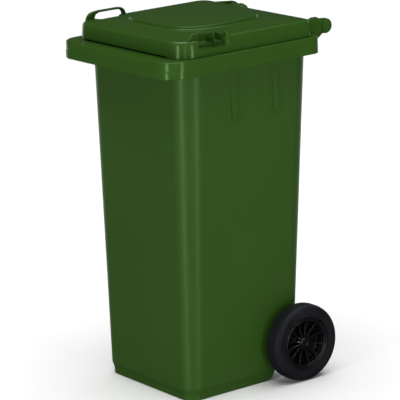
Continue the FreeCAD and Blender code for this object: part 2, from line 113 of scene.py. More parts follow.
# Hinge: the lid's arms stand outside two brackets that carry the handle bar.
ARM_OUTER = 0.199
ARM_THICKNESS = 0.014
ARM_BEVEL = 0.0022
ARM_CLEARANCE = 0.001
ARM_DROP = 0.004                    # the arm's root stops this far below the lid's edge
BOSS_RADIUS = 0.019
PIN_BORE = 0.0073
PIN_DEPTH = 0.040
BAR_END = ARM_OUTER - ARM_THICKNESS - ARM_CLEARANCE
BAR_RADIUS = 0.015
BARREL_EXTRA = 0.004                # the barrel runs on past the end of the pin
GRIP_RADIUS = 0.011
GRIP_DROP = 0.004
GRIP_TAPER = 0.006
BRACKET_WIDTH = 0.034
BRACKET_PLATE = 0.006
BRACKET_BOSS = 0.017
BRACKET_BEVEL = 0.0012
WEB_RISE = 0.0215                   # foot of the web between the plates, above the rim's lower edge
WEB_HALF = 0.002

# Lid: its skirt stands on the rim, and a raised panel with a softer outline takes up most of its top.
LID_HALF = lid_high.x
LID_FRONT = lid_low.y
LID_REAR = rear_y - 0.014
LID_WALL = 0.003
LID_DRAFT = 0.004
LID_CORNER_FRONT = 0.054
LID_CORNER_REAR = 0.030
LID_BOTTOM = rim_top + 0.0005
LID_EDGE = LID_BOTTOM + 0.041
LID_CROWN = LID_EDGE + 0.009
LIFT_DEPTH = 0.003                  # the finger lift under the front edge
LIFT_HEIGHT = 0.0035
LIFT_BEVEL = 0.003
PANEL_HALF = 0.153
PANEL_REACH = 0.139
PANEL_CENTRE = front_y + 0.256
PANEL_HEIGHT = 0.010
PANEL_POWER = 3.2
PANEL_PROFILE = (                   # (height from the panel's top, distance in from its foot, softness)
    (-0.0040, 0.0025, 0.0022),
    (-0.0022, 0.0330, 0.003),
    (-0.0026, 0.0350, 0.0015),
    (-0.0014, 0.0400, 0.003),
    (0, 0.0900, 0.015),
    (0, 0.1150, 0),
)

# Lid handles, and the hand pocket under each: a deep slot and a wider, shallower shelf.
HANDLE_FRONT = front_y + 0.075
HANDLE_LENGTH = 0.137
HANDLE_LEG = 0.028
HANDLE_TOP = lid_high.z
HANDLE_RIB = HANDLE_FRONT + 0.085
HANDLE_RIB_HALF = 0.0015
ARCH_OUTER = LID_HALF - 0.008
ARCH_BAR = 0.010
ARCH_POWER = 5                      # a superellipse of this power is the section of each handle
POCKET_DEPTH = 0.020
POCKET_DROP = 0.024
POCKET_BEVEL = 0.004
SCOOP_DEPTH = 0.045
SCOOP_DROP = 0.015
SCOOP_BEVEL = 0.006

# Wheel: turned profiles in millimetres, as (distance from the tyre's inner face, radius, softness).
TYRE_PROFILE = (
    (8.1, 66.1, 0), (8.1, 70.1, 0.5), (0.6, 70.1, 0.8), (0.6, 76, 1.5), (0, 79, 2), (0, 89, 4),
    (4, 97.5, 6), (13, 100, 4), (36, 100, 4), (45, 97.5, 6), (49, 89, 4), (49, 79, 2),
    (48.4, 76, 1.5), (48.4, 70.1, 0.8), (40.9, 70.1, 0.5), (40.9, 66.1, 0),
)
WHEEL_PROFILE = (
    (40.4, 0.05, 0), (40.4, 7.5, 0.4), (41, 8.5, 0.5), (41, 11.5, 1.2), (38.5, 13.5, 1.5),
    (17.5, 17.5, 2), (17.5, 57.5, 2), (30, 57.5, 2), (44, 58.6, 0.8), (45, 60.2, 0.8), (45, 62.0, 0.6),
    (43.8, 63.2, 0.5), (43.8, 66.0, 0.5), (45, 67.2, 0.8), (45, 70, 1.2), (41, 70, 0.5), (41, 66, 0.5),
    (8, 66, 0.5), (8, 70, 0.5), (4, 70, 1), (4, 59.6, 1), (14, 58, 2), (14, 18, 2), (-12, 18, 1),
    (-12, 10.3, 0.5), (36, 10.3, 0.3), (36, 0.05, 0),
)
SPOKES = 12
SPOKE_HALF = 0.0022
SPOKE_BEVEL = 0.0009
SPOKE_OUTLINE = (                   # (distance from the tyre's inner face, radius)
    (0.0145, 0.0150), (0.0375, 0.0150), (0.0330, 0.0250), (0.0320, 0.0450), (0.0350, 0.0600),
    (0.0145, 0.0600),
)
LATCH_X = tyre_low.x + 0.0035
LATCH_HOUSING = (0.009, 0.012, 0.044, 0.001)     # (radius, two distances from the wheel's axis, bevel)
LATCH_CHAMBER = (0.006, 0.020, 0.060, 0)
LATCH_TIP = (0.0033, 0.005, 0.030, 0)

# Joined pieces run this far into each other, and cutting tools reach past what they cut.
OVERLAP = 0.001
BORE_REACH = 0.3
PIN_BORE_START = 0.1
MOUTH_CUT = 0.010
LIFT_CUT = 0.010
POCKET_CUT = 0.030
STEP_CUT_BOTTOM = -0.1
STEP_CUT_REAR = 0.5
STEP_CUT_HALF = 0.4

# Steps along each kind of curve.
CORNER_STEPS = 16                   # rounded corner of a ring
SIDE_STEPS = 8                      # straight side of a ring
SOFT_STEPS = 4                      # softened edge
ROUND_STEPS = 96                    # turned wheel and tyre
BORE_STEPS = 48                     # axle bore and handle bar
PIN_STEPS = 40                      # hinge pin's bore
ROD_STEPS = 40                      # latch housing and its chambers
ARCH_STEPS = 32                     # section of a lid handle
SMOOTH_ANGLE = math.radians(32)     # sharper edges than this stay crisp
BEVEL_ANGLE = math.radians(25)      # sharper edges than this are bevelled
MERGE_DISTANCE = 1e-6

# ---------------------------------------------------------------- light and camera
WORLD_STRENGTH = 0.035
CEILING_STRENGTH = 3.5
CEILING_SPREAD = 70
SOFTBOXES = (
    # name, azimuth in degrees, then lower edge, upper edge, distance and width in metres, and power in watts
    ("left_strip", 18, -0.9, 1.7, 3.4, 0.36, 36),
    ("right_strip", 90, -0.9, 1.7, 3.4, 0.36, 28),
    ("rear_box_left", 200, -0.9, 1.7, 3.4, 1.8, 12),
    ("rear_box_right", 268, -0.9, 1.7, 3.4, 1.8, 12),
    ("camera_box", 54, 0.6, 2.2, 4.2, 1.0, 8),
)
FLOOR_HALF = 20
CAMERA_AZIMUTH = 53.8
CAMERA_ELEVATION = 14.6
CAMERA_ROLL = -2.6
CAMERA_TARGET = (0, -0.030, 0.450)
CAMERA_DISTANCE = 6.511
CAMERA_LENS = 228.6
CAMERA_SENSOR = 36
CAMERA_SHIFT = (0.0073, 0.0110)


# ---------------------------------------------------------------- mesh tools
def rect_ring(half, y0, y1, z, front_radius, rear_radius):
    """Ring of points round a rectangle with rounded corners, seen anticlockwise from above."""
    corners = (
        (half - front_radius, y0 + front_radius, front_radius, -90),
        (half - rear_radius, y1 - rear_radius, rear_radius, 0),
        (rear_radius - half, y1 - rear_radius, rear_radius, 90),
        (front_radius - half, y0 + front_radius, front_radius, 180),
    )
    arcs = []
    for x, y, radius, start in corners:
        angles = np.radians(start + np.linspace(0, 90, CORNER_STEPS + 1))
        arcs.append(np.column_stack((x + radius * np.cos(angles), y + radius * np.sin(angles))))
    points = []
    for index, arc in enumerate(arcs):
        following = arcs[(index + 1) % len(arcs)]
        points.append(arc)
        shares = np.linspace(0, 1, SIDE_STEPS + 1)[1:-1, None]
        points.append(arc[-1] + shares * (following[0] - arc[-1]))
    flat = np.vstack(points)
    return np.column_stack((flat, np.full(len(flat), z)))


def superellipse_ring(half, reach, centre, z, power, guide):
    """Ring round the raised panel, with one point in the direction of each point of a guide ring."""
    angles = np.arctan2((guide[:, 1] - centre) / reach, guide[:, 0] / half)
    c, s = np.cos(angles), np.sin(angles)
    share = (np.abs(c) ** power + np.abs(s) ** power) ** (-1 / power)
    return np.column_stack((half * c * share, centre + reach * s * share, np.full(len(c), z)))


def circle_ring(x, radius, centre, steps=ROUND_STEPS):
    """Ring about an axis along X."""
    angles = np.linspace(0, 2 * math.pi, steps, endpoint=False)
    return np.column_stack((np.full(steps, x), centre.y + radius * np.cos(angles),
                            centre.z + radius * np.sin(angles)))


def toward(start, end, distance):
    """Each point moved from start towards end by a distance, but never past the middle."""
    run = end - start
    length = np.maximum(np.linalg.norm(run, axis=1), 1e-9)
    return start + run * np.minimum(distance / length, 0.5)[:, None]


def soften(keys, closed=False):
    """Rounds the profile at each (ring, radius) pair with a short curve across the rings."""
    rings = []
    count = len(keys)
    for index, (ring, radius) in enumerate(keys):
        end = not closed and index in (0, count - 1)
        if end or radius <= 0:
            rings.append(ring)
            continue
        back = toward(ring, keys[index - 1][0], radius)
        ahead = toward(ring, keys[(index + 1) % count][0], radius)
        for t in np.linspace(0, 1, SOFT_STEPS + 1):
            rings.append((1 - t) ** 2 * back + 2 * t * (1 - t) * ring + t ** 2 * ahead)
    return rings


def new_object(name, mesh_data):
    piece = bpy.data.objects.new(name, mesh_data)
    bpy.context.scene.collection.objects.link(piece)
    return piece


def finish_mesh(form, name):
    """Turns the form into an object, with doubled points merged and every face turned outwards."""
    bmesh.ops.remove_doubles(form, verts=form.verts, dist=MERGE_DISTANCE)
    bmesh.ops.dissolve_degenerate(form, edges=form.edges, dist=1e-7)
    bmesh.ops.recalc_face_normals(form, faces=form.faces)
    mesh = bpy.data.meshes.new(name)
    form.to_mesh(mesh)
    form.free()
    return new_object(name, mesh)


def skin(name, rings, closed=False):
    """Closed surface through a stack of rings, capped at both ends unless it runs back to its start."""
    form = bmesh.new()
    rows = [[form.verts.new(point) for point in ring] for ring in rings]
    count = len(rows)
    for index in range(count if closed else count - 1):
        low, high = rows[index], rows[(index + 1) % count]
        for k in range(len(low)):
            nxt = (k + 1) % len(low)
            form.faces.new((low[k], low[nxt], high[nxt], high[k]))
    if not closed:
        form.faces.new(rows[0])
        form.faces.new(rows[-1])
    return finish_mesh(form, name)


def plate(name, outline, axis, start, end, bevel=0.001, segments=2):
    """Flat plate from an outline in the other two axes, with softened edges."""
    form = bmesh.new()
    others = [k for k in range(3) if k != axis]
    rows = []
    for level in (start, end):
        row = []
        for first, second in outline:
            point = [0.0, 0.0, 0.0]
            point[axis] = level
            point[others[0]] = first
            point[others[1]] = second
            row.append(form.verts.new(point))
        rows.append(row)
    form.faces.new(rows[0])
    form.faces.new(rows[1])
    for k in range(len(outline)):
        nxt = (k + 1) % len(outline)
        form.faces.new((rows[0][k], rows[0][nxt], rows[1][nxt], rows[1][k]))
    bmesh.ops.recalc_face_normals(form, faces=form.faces)
    if bevel > 0:
        sharp = [edge for edge in form.edges if edge.calc_face_angle(0) > BEVEL_ANGLE]
        bmesh.ops.bevel(form, geom=sharp, offset=bevel, segments=segments, profile=0.5, affect="EDGES",
                        clamp_overlap=True)
    return finish_mesh(form, name)


def block(name, low, high, bevel):
    """Box between two corners, with rounded edges."""
    corners = [(low[1], low[2]), (high[1], low[2]), (high[1], high[2]), (low[1], high[2])]
    return plate(name, corners, 0, low[0], high[0], bevel, 3)


def arc_points(centre, radius, start, end, steps=14):
    """Points (y, z) along an arc, from one angle to another in degrees."""
    angles = np.radians(np.linspace(start, end, steps))
    return [(centre[0] + radius * math.cos(a), centre[1] + radius * math.sin(a)) for a in angles]


def mirror(piece, name):
    """Copy on the other side of the bin's middle plane."""
    mesh = piece.data.copy()
    mesh.transform(Matrix.Scale(-1, 4, (1, 0, 0)))
    mesh.flip_normals()
    mesh.name = name
    return new_object(name, mesh)


def join(name, pieces):
    """One object with the meshes of several, which are removed."""
    form = bmesh.new()
    for piece in pieces:
        form.from_mesh(piece.data)
        bpy.data.objects.remove(piece)
    mesh = bpy.data.meshes.new(name)
    form.to_mesh(mesh)
    form.free()
    return new_object(name, mesh)


def bore(radius, centre, near, far, steps):
    """Tool for a round hole along X."""
    return skin("bore", [circle_ring(near, radius, centre, steps), circle_ring(far, radius, centre, steps)])


def combine(target, tools, operation):
    """Adds the tools to the target or cuts them from it, and removes them.

    A list of tools is joined first, and may overlap itself."""
    tool = join("tool", tools) if isinstance(tools, list) else tools
    modifier = target.modifiers.new("combine", "BOOLEAN")
    modifier.operation = operation
    modifier.object = tool
    modifier.solver = "EXACT"
    modifier.use_self = isinstance(tools, list)
    depsgraph = bpy.context.evaluated_depsgraph_get()
    mesh = bpy.data.meshes.new_from_object(target.evaluated_get(depsgraph))
    target.modifiers.remove(modifier)
    target.data = mesh
    mesh.name = target.name
    bpy.data.objects.remove(tool)


def smooth(piece, angle=SMOOTH_ANGLE):
    """Smooth shading with crisp edges, and normals that keep the flat faces flat."""
    piece.data.shade_smooth()
    piece.data.set_sharp_from_angle(angle=angle)
    weighted = piece.modifiers.new("flat faces", "WEIGHTED_NORMAL")
    weighted.keep_sharp = True
    weighted.weight = 90


# ---------------------------------------------------------------- tub
def blend_value(pair, z):
    """Value at a height, from one at the ground and one at the rim's lower edge."""
    return pair[0] + (pair[1] - pair[0]) * z / rim_bottom


def tub_ring(z, inset):
    """Ring of the tub's outer face at a height, moved in by an inset."""
    half = blend_value(TUB_HALF, z) - inset
    front = front_y + blend_value(TUB_FRONT, z) + inset
    rear = rear_y - blend_value(TUB_REAR, z) - inset
    radius = blend_value(TUB_CORNER, z) - inset
    return rect_ring(half, front, rear, z, radius, radius)


def rim_ring(z, inset, band):
    """Ring of the rim; the band moves its front forward to the thicker lower part of the apron."""
    face = front_y + (0 if band else BAND_DEPTH)
    return rect_ring(rim_half - inset, face + inset, rear_y - inset, z, RIM_FRONT_RADIUS - inset,
                     RIM_REAR_RADIUS - inset)


def step_tool(name, growth):
    """Space under the raised rear step of the tub, grown by a wall."""
    edge = STEP_RISER - STEP_EDGE_RADIUS
    roof_y = STEP_RISER + STEP_ROOF_RADIUS
    outline = [(edge, STEP_CUT_BOTTOM)]
    outline += arc_points((edge, STEP_EDGE_RADIUS), STEP_EDGE_RADIUS - growth, -90, 0)
    outline += arc_points((roof_y, STEP_ROOF - STEP_ROOF_RADIUS), STEP_ROOF_RADIUS + growth, 180, 90)
    outline += [(STEP_CUT_REAR, STEP_ROOF + growth), (STEP_CUT_REAR, STEP_CUT_BOTTOM)]
    return plate(name, outline, 0, -STEP_CUT_HALF, STEP_CUT_HALF, 0)


def tub_outside():
    """Outer form of the tub and its rim, as (ring, softness) from the ground up and over the rim."""
    flange = rim_top - RIM_WALL
    return skin("tub", soften([
        (tub_ring(0, SKIRT_STEP + SKIRT_CHAMFER), 0),
        (tub_ring(0, SKIRT_STEP), 0.003),
        (tub_ring(SKIRT_HEIGHT - SKIRT_SLOPE, SKIRT_STEP), 0.003),
        (tub_ring(SKIRT_HEIGHT, 0), 0.003),
        (tub_ring(flange, 0), 0.004),
        (rim_ring(flange, RIM_WALL, False), 0.002),
        (rim_ring(rim_bottom, RIM_WALL, False), 0.0012),
        (rim_ring(rim_bottom, 0, True), 0.0018),
        (rim_ring(rim_bottom + BAND_HEIGHT - BAND_DEPTH, 0, True), 0.0012),
        (rim_ring(rim_bottom + BAND_HEIGHT, 0, False), 0.0008),
        (rim_ring(rim_top, 0, False), 0.0045),
        (tub_ring(rim_top, -RIM_WALL), 0),
    ]))


def tub_inside():
    """Form of the tub's cavity, which flares at the mouth and runs on above the rim."""
    return skin("tub_inside", soften([
        (tub_ring(FLOOR, TUB_WALL + SKIRT_STEP + FLOOR_CHAMFER), 0),
        (tub_ring(FLOOR, TUB_WALL + SKIRT_STEP), 0.010),
        (tub_ring(SKIRT_HEIGHT, TUB_WALL), 0.006),
        (tub_ring(rim_top - MOUTH_FLARE, TUB_WALL), 0.003),
        (tub_ring(rim_top + OVERLAP, TUB_WALL - MOUTH_FLARE), 0),
        (tub_ring(rim_top + MOUTH_CUT, TUB_WALL - MOUTH_FLARE), 0),
    ]))


def stack_rib(distance):
    """Upright rib on the right side wall: its outer face is vertical, its root follows the wall."""
    low = rim_bottom - RIB_LENGTH
    root = TUB_WALL / 2
    outer = TUB_HALF[1] + RIB_STAND
    top = rim_top - OVERLAP
    outline = [(blend_value(TUB_HALF, low) - root, low), (outer, low), (outer, top),
               (blend_value(TUB_HALF, top) - root, top)]
    y = front_y + distance
    return plate("rib", outline, 1, y, y + RIB_WIDTH, RIB_BEVEL, 3)


def gusset_outline(wall, apron):
    """Outline of a thin plate between the tub's wall and the rim's apron, lower at the wall."""
    side = 1 if apron > wall else -1
    tip = rim_bottom - GUSSET_DROP
    top = rim_top - RIM_WALL / 2
    root = wall - side * TUB_WALL / 2
    return [(apron, top), (apron, rim_bottom + 0.002), (wall + side * 0.003, tip + 0.001), (root, tip),
            (root, top)]


def gussets():
    """Plates under the rim: one each side of the front's middle, and three on the side."""
    front = gusset_outline(front_y + TUB_FRONT[1], front_y + RIM_WALL)
    pieces = [plate("gusset", front, 0, GUSSET_X - GUSSET / 2, GUSSET_X + GUSSET / 2, GUSSET_BEVEL)]
    side = gusset_outline(TUB_HALF[1], rim_half - RIM_WALL / 2)
    for distance in (GUSSET_SIDE,) + RIB_FRONTS:
        y = front_y + distance
        pieces.append(plate("gusset", side, 1, y, y + GUSSET, GUSSET_BEVEL))
    return pieces


def tangent_angle(root, radius, side):
    """Angle on the hinge boss where a line from a root point touches it."""
    across, rise = root[0] - hinge.y, root[1] - hinge.z
    reach = math.hypot(across, rise)
    return math.degrees(math.atan2(rise, across) + side * math.acos(radius / reach))


def boss_outline(radius, root_y, low, high):
    """Outline in the Y-Z plane of a blade that ends in a round boss on the hinge axis."""
    upper = tangent_angle((root_y, high), radius, -1)
    lower = tangent_angle((root_y, low), radius, 1)
    if lower > upper:
        lower -= 360
    return [(root_y, high)] + arc_points((hinge.y, hinge.z), radius, upper, lower, 26) + [(root_y, low)]


def brackets():
    """Two plates and a web on the right that carry the handle bar."""
    inner = BAR_END - BRACKET_WIDTH
    root = rear_y - OVERLAP
    outline = boss_outline(BRACKET_BOSS, root, rim_bottom + OVERLAP, rim_top - OVERLAP)
    pieces = []
    for x0 in (BAR_END - BRACKET_PLATE, inner):
        pieces.append(plate("bracket", outline, 0, x0, x0 + BRACKET_PLATE, BRACKET_BEVEL))
    web = [(root, rim_bottom + WEB_RISE), (root, rim_top - RIM_WALL), (hinge.y, hinge.z + WEB_HALF),
           (hinge.y, hinge.z - WEB_HALF)]
    pieces.append(plate("web", web, 0, inner + OVERLAP, BAR_END - OVERLAP, 0))
    return pieces


def grip_bar():
    """Handle bar: a barrel round each hinge pin, and a slimmer, slightly lower grip between them."""
    barrel = BAR_END - PIN_DEPTH - BARREL_EXTRA
    low = hinge - Vector((0, 0, GRIP_DROP))
    profile = (
        (-BAR_END, BAR_RADIUS, hinge, 0),
        (-barrel, BAR_RADIUS, hinge, 0.002),
        (-barrel + GRIP_TAPER, GRIP_RADIUS, low, 0.004),
    )
    keys = [(circle_ring(x, r, centre, BORE_STEPS), soft) for x, r, centre, soft in profile]
    keys += [(circle_ring(-x, r, centre, BORE_STEPS), soft) for x, r, centre, soft in reversed(profile)]
    return skin("grip", soften(keys))


def axle_cheeks():
    """Right outer and inner plates that hang from the step's roof and hold the axle."""
    outline = [(wheel_hub.y - CHEEK_RADIUS, STEP_ROOF + TUB_WALL / 2)]
    outline += arc_points((wheel_hub.y, wheel_hub.z), CHEEK_RADIUS, 180, 360, 20)
    outline += [(wheel_hub.y + CHEEK_RADIUS, STEP_ROOF + TUB_WALL / 2)]
    pieces = []
    for face in (OUTER_CHEEK, INNER_CHEEK):
        pieces.append(plate("cheek", outline, 0, face - CHEEK_THICKNESS, face, CHEEK_BEVEL))
    return pieces


def both_sides(pieces):
    """The right-hand pieces and their mirror images."""
    return pieces + [mirror(piece, piece.name) for piece in pieces]


def make_tub():
    """Tub in one piece, with its ribs, gussets, brackets, axle cheeks and handle bar."""
    tub = tub_outside()
    combine(tub, step_tool("step", 0), "DIFFERENCE")
    cavity = tub_inside()
    combine(cavity, step_tool("step_wall", TUB_WALL), "DIFFERENCE")
    combine(tub, cavity, "DIFFERENCE")
    features = both_sides([stack_rib(d) for d in RIB_FRONTS] + gussets() + brackets() + axle_cheeks())
    combine(tub, features + [grip_bar()], "UNION")
    combine(tub, bore(AXLE_BORE, wheel_hub, -BORE_REACH, BORE_REACH, BORE_STEPS), "DIFFERENCE")
    smooth(tub)
    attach(tub, "root")
    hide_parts("bin_body")
    return tub


# ---------------------------------------------------------------- lid
def lid_ring(z, inset):
    """Ring of the lid's skirt at a height, which leans in from its foot to its upper edge."""
    share = min((z - LID_BOTTOM) / (LID_EDGE - LID_BOTTOM), 1)
    lean = inset + LID_DRAFT * max(share, 0)
    return rect_ring(LID_HALF - lean, LID_FRONT + lean, LID_REAR - lean, z, LID_CORNER_FRONT - lean,
                     LID_CORNER_REAR - lean)


def panel_ring(z, inset, guide):
    return superellipse_ring(PANEL_HALF - inset, PANEL_REACH - inset, PANEL_CENTRE, z, PANEL_POWER, guide)


def lid_form(name, inset, drop):
    """Closed form of the lid's outside, or of its inside when moved in and down by the wall."""
    guide = lid_ring(LID_BOTTOM, 0)
    base = LID_BOTTOM if drop == 0 else LID_BOTTOM - 0.004
    edge = LID_EDGE - drop
    crown = LID_CROWN - drop
    top = crown + PANEL_HEIGHT
    keys = [
        (lid_ring(base, inset + 0.001), 0),
        (lid_ring(base, inset), 0.001),
        (lid_ring(edge, inset), 0.009),
        (panel_ring(crown, inset, guide), 0.0015),
    ]
    keys += [(panel_ring(top + rise, inset + distance, guide), soft)
             for rise, distance, soft in PANEL_PROFILE]
    return skin(name, soften(keys))


def pocket_block(growth):
    """The two forms of the hand pocket under the right lid handle, grown by a wall."""
    y0 = HANDLE_FRONT + HANDLE_LEG - growth
    y1 = HANDLE_FRONT + HANDLE_LENGTH - HANDLE_LEG + growth
    slot = (POCKET_DEPTH, POCKET_DROP, POCKET_BEVEL)
    shelf = (SCOOP_DEPTH, SCOOP_DROP, SCOOP_BEVEL)
    forms = []
    for depth, drop, bevel in (slot, shelf):
        low = (LID_HALF - depth - growth, y0, LID_EDGE - drop - growth)
        forms.append(block("pocket", low, (LID_HALF + POCKET_CUT, y1, LID_EDGE + POCKET_CUT), bevel))
    return forms


def sweep(name, knots):
    """Bar with a nearly square section along (x, y, z, half width, half thickness, softness) knots."""
    path = [point[0] for point in soften([(np.array([knot[:5]]), knot[5]) for knot in knots])]
    rings = []
    for index, place in enumerate(path):
        point = Vector(place[:3])
        before = Vector(path[max(index - 1, 0)][:3])
        after = Vector(path[min(index + 1, len(path) - 1)][:3])
        run = (after - before).normalized()
        side = Vector((1, 0, 0))
        side = (side - run * side.dot(run)).normalized()
        up = run.cross(side)
        ring = []
        for step in range(ARCH_STEPS):
            angle = 2 * math.pi * step / ARCH_STEPS
            c, s = math.cos(angle), math.sin(angle)
            share = (abs(c) ** ARCH_POWER + abs(s) ** ARCH_POWER) ** (-1 / ARCH_POWER)
            ring.append(point + side * (place[3] * c * share) + up * (place[4] * s * share))
        rings.append(np.array(ring))
    return skin(name, rings)


def lid_arch():
    """Right lid handle: a flat bar with two legs, and the flanges that make its front leg a channel.

    The bar's knots run from its front foot, over the top, to its rear foot."""
    x = ARCH_OUTER - ARCH_BAR / 2
    foot_x = LID_HALF - 0.0065
    half = ARCH_BAR / 2
    y0, y1 = HANDLE_FRONT, HANDLE_FRONT + HANDLE_LENGTH
    edge, top = LID_EDGE, HANDLE_TOP
    bar = [
        (foot_x - 0.0015, y0 + 0.014, edge - 0.014, 0.0040, 0.0085, 0),
        (x - 0.002, y0 + 0.014, edge - 0.002, 0.0030, 0.0080, 0.008),
        (x - 0.002, y0 + 0.020, top - 0.008, 0.0030, 0.0060, 0.008),
        (x, y0 + 0.036, top - 0.0026, half, 0.0026, 0.008),
        (x, y1 - 0.036, top - 0.0026, half, 0.0026, 0.004),
        (x, y1 - 0.024, top - 0.0060, half, 0.0038, 0.008),
        (x + 0.002, y1 - 0.017, edge + 0.004, half, 0.0050, 0.008),
        (foot_x, y1 - 0.014, edge - 0.012, half, 0.0065, 0.008),
        (foot_x + 0.0005, y1 - 0.015, edge - 0.030, half, 0.0060, 0),
    ]
    front_flange = [
        (x, y0 + 0.002, edge - 0.008, half - 0.0003, 0.0016, 0),
        (x, y0 + 0.004, edge + 0.004, half - 0.0003, 0.0016, 0.006),
        (x, y0 + 0.012, top - 0.006, half - 0.0003, 0.0016, 0.008),
        (x, y0 + 0.030, top - 0.0022, half - 0.0003, 0.0018, 0.010),
        (x, y0 + 0.050, top - 0.0031, half - 0.0006, 0.0020, 0),
    ]
    rear_flange = [
        (x, y0 + 0.024, edge - 0.010, half - 0.0004, 0.0016, 0),
        (x, y0 + 0.024, edge + 0.002, half - 0.0004, 0.0016, 0.006),
        (x, y0 + 0.028, top - 0.008, half - 0.0004, 0.0016, 0.005),
        (x, y0 + 0.040, top - 0.0038, half - 0.0007, 0.0016, 0),
    ]
    return [sweep("bar", bar), sweep("front_flange", front_flange), sweep("rear_flange", rear_flange)]


def pocket_rib():
    """Upright rib across the slot and the shelf of the right hand pocket."""
    floor = LID_EDGE - POCKET_DROP - OVERLAP
    shelf = LID_EDGE - SCOOP_DROP - OVERLAP
    inner = LID_HALF - SCOOP_DEPTH - OVERLAP
    step = LID_HALF - POCKET_DEPTH - OVERLAP
    outline = [(inner, shelf), (step, shelf), (step, floor), (LID_HALF - 0.009, floor),
               (LID_HALF - 0.016, LID_EDGE - 0.002), (inner, LID_EDGE - 0.001)]
    return plate("rib", outline, 1, HANDLE_RIB - HANDLE_RIB_HALF, HANDLE_RIB + HANDLE_RIB_HALF, 0.0005)


def lid_arm():
    """Right arm from the lid's rear wall to its boss round the hinge pin."""
    root = LID_REAR - LID_DRAFT - LID_WALL / 2
    outline = boss_outline(BOSS_RADIUS, root, LID_BOTTOM + OVERLAP, LID_EDGE - ARM_DROP)
    arm = plate("arm", outline, 0, ARM_OUTER - ARM_THICKNESS, ARM_OUTER, ARM_BEVEL, 3)
    combine(arm, bore(PIN_BORE, hinge, PIN_BORE_START, BORE_REACH, PIN_STEPS), "DIFFERENCE")
    return arm


def make_lid():
    """Lid in one piece. Its features are added one at a time, which keeps the surface closed."""
    lid = lid_form("lid_moulding", 0, 0)
    combine(lid, both_sides(pocket_block(0)), "DIFFERENCE")
    hollow = lid_form("lid_hollow", LID_WALL, LID_WALL)
    combine(hollow, both_sides(pocket_block(LID_WALL)), "DIFFERENCE")
    combine(lid, hollow, "DIFFERENCE")
    half = LID_HALF - LID_CORNER_FRONT
    low = (-half, LID_FRONT - LIFT_CUT, LID_BOTTOM - LIFT_CUT)
    high = (half, LID_FRONT + LID_WALL + LIFT_DEPTH, LID_BOTTOM + LIFT_HEIGHT)
    combine(lid, block("lift", low, high, LIFT_BEVEL), "DIFFERENCE")
    for feature in both_sides(lid_arch() + [lid_arm(), pocket_rib()]):
        combine(lid, feature, "UNION")
    smooth(lid)
    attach(lid, "lid")
    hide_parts("lid")
    return lid


# ---------------------------------------------------------------- wheels
def lathe(name, profile, closed=True):
    """Piece turned about the wheel's axle from a profile in millimetres."""
    keys = [(circle_ring(tyre_low.x + x / 1000, radius / 1000, wheel_hub), soft / 1000)
            for x, radius, soft in profile]
    return skin(name, soften(keys, closed), closed)


def spoke(index):
    """One rib from the hub to the barrel, deeper at its ends than in the middle."""
    outline = [(tyre_low.x + x, radius) for x, radius in SPOKE_OUTLINE]
    form = plate("spoke", outline, 1, -SPOKE_HALF, SPOKE_HALF, SPOKE_BEVEL, 3)
    form.data.transform(Matrix.Rotation(2 * math.pi * (index + 0.5) / SPOKES, 4, "X"))
    form.data.transform(Matrix.Translation((0, wheel_hub.y, wheel_hub.z)))
    return form


def upright_rod(name, radius, low, high, bevel):
    """Rod along Z over the wheel's axis at the latch, between two distances from that axis."""
    angles = np.linspace(0, 2 * math.pi, ROD_STEPS, endpoint=False)
    rings = []
    for r, z in ((radius, low), (radius, high - bevel), (radius - bevel, high)):
        rings.append(np.column_stack((LATCH_X + r * np.cos(angles), wheel_hub.y + r * np.sin(angles),
                                      np.full(ROD_STEPS, wheel_hub.z + z))))
    return skin(name, rings)


def make_wheel_centre():
    """Right wheel centre: one turned section whose hub is closed, with spokes and the latch housing."""
    wheel = lathe("wheel_moulding_right", WHEEL_PROFILE, False)
    housing = upright_rod("housing", *LATCH_HOUSING)
    combine(wheel, [spoke(index) for index in range(SPOKES)] + [housing], "UNION")
    combine(wheel, upright_rod("chamber", *LATCH_CHAMBER), "DIFFERENCE")
    combine(wheel, upright_rod("tip", *LATCH_TIP), "DIFFERENCE")
    return wheel


def make_wheels():
    """Both tyres and both wheel centres, each with its slot."""
    tyre = lathe("tyre_moulding_right", TYRE_PROFILE)
    centre = make_wheel_centre()
    pieces = []
    for piece, node, slot in ((tyre, "tyre", "rubber"), (centre, "wheel_centre", "black_plastic")):
        left = mirror(piece, piece.name.replace("right", "left"))
        for side, part in (("right", piece), ("left", left)):
            smooth(part)
            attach(part, "wheel_" + side)
            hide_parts(node + "_" + side)
            pieces.append((part, slot))
    return pieces


# ---------------------------------------------------------------- materials
def new_material(name):
    """Material with its nodes, its links and its shader."""
    material = bpy.data.materials.new(name)
    material.use_nodes = True
    nodes = material.node_tree.nodes
    return material, nodes, material.node_tree.links, nodes["Principled BSDF"]


def noise(nodes, links, source, scale, detail, rough=0.5):
    """Noise texture fed by a vector."""
    texture = nodes.new("ShaderNodeTexNoise")
    texture.inputs["Scale"].default_value = scale
    texture.inputs["Detail"].default_value = detail
    texture.inputs["Roughness"].default_value = rough
    links.new(source, texture.inputs["Vector"])
    return texture


def ramp(nodes, links, source, stops):
    """Colour ramp from (position, colour) stops, fed by a value."""
    node = nodes.new("ShaderNodeValToRGB")
    elements = node.color_ramp.elements
    while len(elements) < len(stops):
        elements.new(0.5)
    for element, (place, value) in zip(elements, stops):
        element.position = place
        element.color = value if len(value) == 4 else (*value, 1)
    links.new(source, node.inputs["Fac"])
    return node


def grey(value):
    return (value, value, value, 1)


def add_bump(nodes, links, texture, shader, strength, distance):
    """Fine relief on the shader from a texture."""
    bump = nodes.new("ShaderNodeBump")
    bump.inputs["Strength"].default_value = strength
    bump.inputs["Distance"].default_value = distance
    links.new(texture.outputs["Fac"], bump.inputs["Height"])
    links.new(bump.outputs["Normal"], shader.inputs["Normal"])


